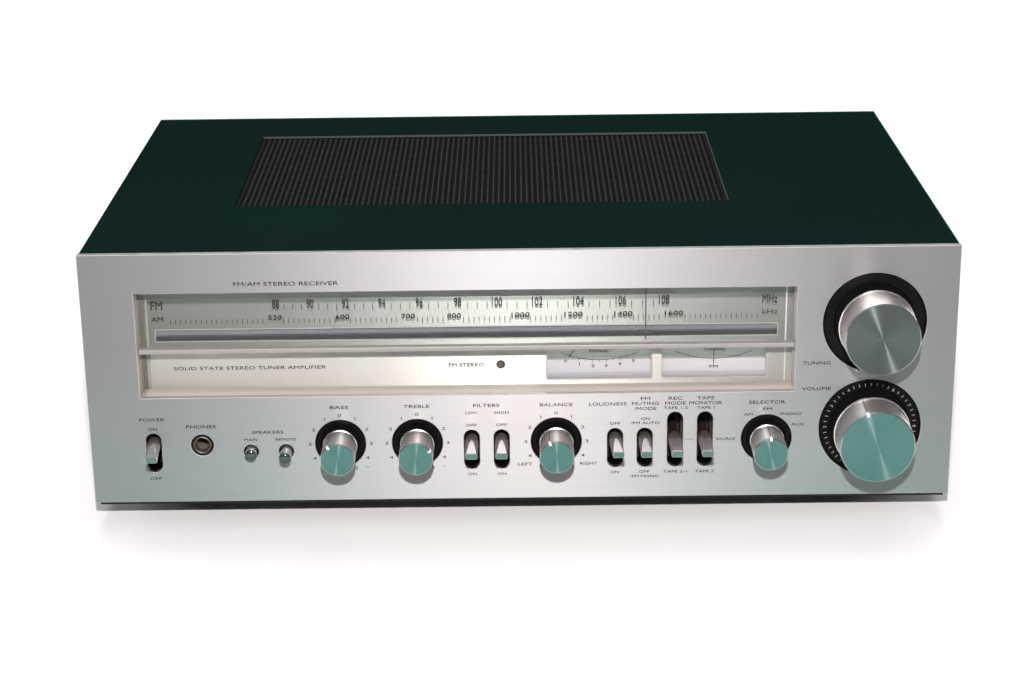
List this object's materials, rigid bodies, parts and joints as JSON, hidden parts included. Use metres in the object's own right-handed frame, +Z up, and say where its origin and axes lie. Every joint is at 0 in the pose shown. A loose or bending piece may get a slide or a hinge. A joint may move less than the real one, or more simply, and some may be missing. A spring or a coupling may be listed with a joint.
{
  "type": "stereo receiver",
  "caption": "Wide silver stereo receiver with a recessed tuning dial, rotary knobs, bat levers, push buttons, a headphone socket and a vented steel cabinet.",
  "frame": {"origin": "middle of the bounding box, on the surface that the feet stand on", "axes": "+X to the right as the user sees the front panel, +Y from the panel towards the back, +Z up"},
  "size_m": [0.49, 0.3518, 0.1638],
  "materials": {
    "brushed_aluminium": "brushed along its length",
    "spun_aluminium": "spun face, greenish in the room's light",
    "cover_paint": "near-black green, fine satin",
    "black_steel": "satin",
    "zinc_steel": "plated",
    "black_plastic": "matte",
    "bezel_paint": "satin beige",
    "clear_window": "polished",
    "dial_paint": "satin silver",
    "meter_white": "satin",
    "dark_metal": "satin",
    "chrome": "polished",
    "lamp_lens": "gloss",
    "foot_rubber": "matte",
    "circuit_board": "matte",
    "transformer_iron": "varnished",
    "black_fins": "anodised",
    "dial_cord": "braided"
  },
  "bodies": {
    "cabinet": {"antenna_bracket": "black_plastic", "balance_ring": "black_plastic", "bass_ring": "black_plastic", "cabinet_cover": "cover_paint", "chassis_tray": "black_steel", "dial_cord": "dial_cord", "dial_plate": "dial_paint", "dial_window": "clear_window", "front_left_foot": "foot_rubber", "front_panel": "brushed_aluminium", "front_right_foot": "foot_rubber", "heat_sink": "black_fins", "jack_panel": "black_plastic", "left_switch_board": "circuit_board", "lever_switch_board": "circuit_board", "main_board": "circuit_board", "mains_gland": "black_plastic", "phones_jack": "black_plastic", "pointer_rail": "dark_metal", "power_transformer": "transformer_iron", "rear_left_foot": "foot_rubber", "rear_panel": "black_steel", "rear_right_foot": "foot_rubber", "selector_ring": "black_plastic", "selector_switch": "zinc_steel", "signal_meter": "meter_white", "speaker_terminals": "black_plastic", "stereo_lamp": "lamp_lens", "tone_control_board": "circuit_board", "treble_ring": "black_plastic", "tuning_capacitor": "zinc_steel", "tuning_meter": "meter_white", "tuning_ring": "black_plastic", "vent_grille": "black_steel", "volume_pot": "zinc_steel", "volume_ring": "black_plastic", "window_bezel": "bezel_paint", "window_divider": "brushed_aluminium"},
    "tuning": {"tuning_knob": "spun_aluminium", "tuning_flywheel": "zinc_steel"},
    "dial_pointer": {"dial_pointer": "dark_metal"},
    "dial_drum": {"dial_drum": "black_plastic"},
    "capacitor_rotor": {"capacitor_rotor": "zinc_steel"},
    "signal_needle": {"signal_needle": "dark_metal"},
    "tuning_needle": {"tuning_needle": "dark_metal"},
    "antenna_bar": {"antenna_bar": "black_plastic"},
    "main_speaker_button": {"main_speaker_button": "chrome"},
    "remote_speaker_button": {"remote_speaker_button": "chrome"},
    "volume_knob": {"volume_knob": "spun_aluminium"},
    "bass_knob": {"bass_knob": "spun_aluminium"},
    "treble_knob": {"treble_knob": "spun_aluminium"},
    "balance_knob": {"balance_knob": "spun_aluminium"},
    "selector_knob": {"selector_knob": "spun_aluminium"},
    "power_lever": {"power_lever": "chrome"},
    "low_filter_lever": {"low_filter_lever": "chrome"},
    "high_filter_lever": {"high_filter_lever": "chrome"},
    "loudness_lever": {"loudness_lever": "chrome"},
    "muting_lever": {"muting_lever": "chrome"},
    "rec_mode_lever": {"rec_mode_lever": "chrome"},
    "tape_monitor_lever": {"tape_monitor_lever": "chrome"}
  },
  "joints": [
    {"name": "tuning_spin", "type": "hinge", "parent": "cabinet", "child": "tuning", "pos_m": [0.1988, -0.15545, 0.1192], "axis": [0, 1, 0], "range_deg": [-2037.8, 177.6]},
    {"name": "pointer_slide", "type": "slide", "parent": "cabinet", "child": "dial_pointer", "axis": [1, 0, 0], "range_m": [-0.2134, 0.0186]},
    {"name": "drum_turn", "type": "hinge", "parent": "cabinet", "child": "dial_drum", "pos_m": [0.15, -0.09795, 0.0895], "axis": [0, 1, 0], "range_deg": [-331.4, 29]},
    {"name": "capacitor_turn", "type": "hinge", "parent": "cabinet", "child": "capacitor_rotor", "pos_m": [0.15, -0.07045, 0.0895], "axis": [0, 1, 0], "range_deg": [-165.8, 14.5]},
    {"name": "volume_turn", "type": "hinge", "parent": "cabinet", "child": "volume_knob", "pos_m": [0.1984, -0.15545, 0.0562], "axis": [0, 1, 0], "range_deg": [-132.3, 167.7]},
    {"name": "bass_turn", "type": "hinge", "parent": "cabinet", "child": "bass_knob", "pos_m": [-0.1027, -0.15545, 0.0498], "axis": [0, 1, 0], "range_deg": [-114.5, 185.5]},
    {"name": "treble_turn", "type": "hinge", "parent": "cabinet", "child": "treble_knob", "pos_m": [-0.0589, -0.15545, 0.0498], "axis": [0, 1, 0], "range_deg": [-209.5, 90.5]},
    {"name": "balance_turn", "type": "hinge", "parent": "cabinet", "child": "balance_knob", "pos_m": [0.0202, -0.15545, 0.0498], "axis": [0, 1, 0], "range_deg": [-124.9, 175.1]},
    {"name": "selector_turn", "type": "hinge", "parent": "cabinet", "child": "selector_knob", "pos_m": [0.1398, -0.15545, 0.0502], "axis": [0, 1, 0], "range_deg": [-30, 60]},
    {"name": "power_tilt", "type": "hinge", "parent": "cabinet", "child": "power_lever", "pos_m": [-0.2092, -0.12145, 0.0502], "axis": [1, 0, 0], "range_deg": [0, 26]},
    {"name": "low_filter_tilt", "type": "hinge", "parent": "cabinet", "child": "low_filter_lever", "pos_m": [-0.0279, -0.12145, 0.0502], "axis": [1, 0, 0], "range_deg": [0, 26]},
    {"name": "high_filter_tilt", "type": "hinge", "parent": "cabinet", "child": "high_filter_lever", "pos_m": [-0.0109, -0.12145, 0.0502], "axis": [1, 0, 0], "range_deg": [0, 26]},
    {"name": "loudness_tilt", "type": "hinge", "parent": "cabinet", "child": "loudness_lever", "pos_m": [0.0537, -0.12145, 0.0502], "axis": [1, 0, 0], "range_deg": [0, 26]},
    {"name": "muting_tilt", "type": "hinge", "parent": "cabinet", "child": "muting_lever", "pos_m": [0.0706, -0.12145, 0.0502], "axis": [1, 0, 0], "range_deg": [0, 26]},
    {"name": "rec_mode_tilt", "type": "hinge", "parent": "cabinet", "child": "rec_mode_lever", "pos_m": [0.0878, -0.12145, 0.0502], "axis": [1, 0, 0], "range_deg": [-26, 26]},
    {"name": "tape_monitor_tilt", "type": "hinge", "parent": "cabinet", "child": "tape_monitor_lever", "pos_m": [0.1048, -0.12145, 0.0502], "axis": [1, 0, 0], "range_deg": [-26, 26]},
    {"name": "main_speaker_press", "type": "slide", "parent": "cabinet", "child": "main_speaker_button", "axis": [0, 1, 0], "range_m": [-0.005, 0]},
    {"name": "remote_speaker_press", "type": "slide", "parent": "cabinet", "child": "remote_speaker_button", "axis": [0, 1, 0], "range_m": [0, 0.005]},
    {"name": "signal_swing", "type": "hinge", "parent": "cabinet", "child": "signal_needle", "pos_m": [0.0453, -0.12455, 0.1148], "axis": [0, -1, 0], "range_deg": [0, 76]},
    {"name": "tuning_swing", "type": "hinge", "parent": "cabinet", "child": "tuning_needle", "pos_m": [0.1109, -0.12455, 0.1148], "axis": [0, -1, 0], "range_deg": [-38, 38]},
    {"name": "antenna_swing", "type": "hinge", "parent": "cabinet", "child": "antenna_bar", "pos_m": [0.1, 0.17135, 0.135], "axis": [0, 0, -1], "range_deg": [0, 90]}
  ],
  "couplings": [
    {"joint": "pointer_slide", "follows": "tuning_spin", "m_per_rad": 0.006},
    {"joint": "drum_turn", "follows": "tuning_spin", "ratio": 0.1626},
    {"joint": "capacitor_turn", "follows": "tuning_spin", "ratio": 0.0813}
  ]
}
